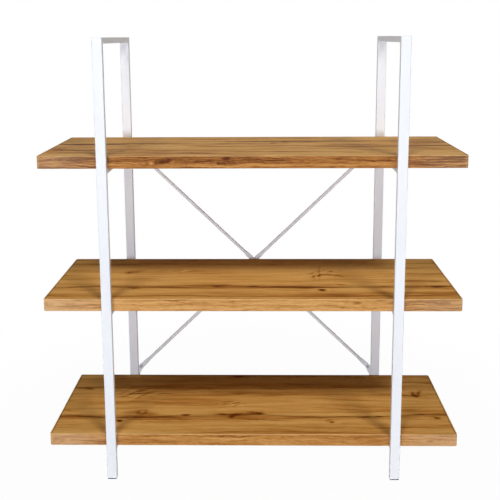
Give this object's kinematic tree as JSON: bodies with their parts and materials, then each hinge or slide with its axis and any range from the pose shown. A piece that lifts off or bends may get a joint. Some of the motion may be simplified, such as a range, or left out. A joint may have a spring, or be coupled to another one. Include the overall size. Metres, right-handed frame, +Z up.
{
  "type": "open shelving unit",
  "caption": "Open metal-framed shelving unit: white tube side frames carry thick wood-look boards that overhang at both ends, with crossed round brace rods at the back.",
  "frame": {"origin": "on the floor, at the middle of the unit's footprint", "axes": "+X along the boards to the right seen from the front, +Y to the back where the brace is, +Z up"},
  "size_m": [1.06, 0.401, 1.138],
  "materials": {
    "white_coat": "satin white powder coat on steel tube",
    "oak_face": "golden knotty oak look laminate, matt, grain along the board",
    "oak_edging": "oak look edging, a little paler than the faces, matt",
    "zinc_steel": "bright zinc plate",
    "dark_plastic": "dark grey moulded plastic"
  },
  "bodies": {
    "root": {"left_front_post": "white_coat", "left_rear_post": "white_coat", "left_top_bar": "white_coat", "left_lower_rail": "white_coat", "left_middle_rail": "white_coat", "left_upper_rail": "white_coat", "left_lower_brace_lug": "white_coat", "left_upper_brace_lug": "white_coat", "left_front_foot": "dark_plastic", "left_rear_foot": "dark_plastic", "right_front_post": "white_coat", "right_rear_post": "white_coat", "right_top_bar": "white_coat", "right_lower_rail": "white_coat", "right_middle_rail": "white_coat", "right_upper_rail": "white_coat", "right_lower_brace_lug": "white_coat", "right_upper_brace_lug": "white_coat", "right_front_foot": "dark_plastic", "right_rear_foot": "dark_plastic", "lower_shelf": "oak_face", "lower_shelf_edging": "oak_edging", "lower_shelf_inserts": "zinc_steel", "lower_shelf_screws": "zinc_steel", "middle_shelf": "oak_face", "middle_shelf_edging": "oak_edging", "middle_shelf_inserts": "zinc_steel", "middle_shelf_screws": "zinc_steel", "upper_shelf": "oak_face", "upper_shelf_edging": "oak_edging", "upper_shelf_inserts": "zinc_steel", "upper_shelf_screws": "zinc_steel", "rising_brace_rod": "white_coat", "rising_brace_screws": "zinc_steel", "rising_brace_nuts": "zinc_steel", "falling_brace_rod": "white_coat", "falling_brace_screws": "zinc_steel", "falling_brace_nuts": "zinc_steel", "middle_brace_screw": "zinc_steel", "middle_brace_nut": "zinc_steel"}
  },
  "joints": []
}
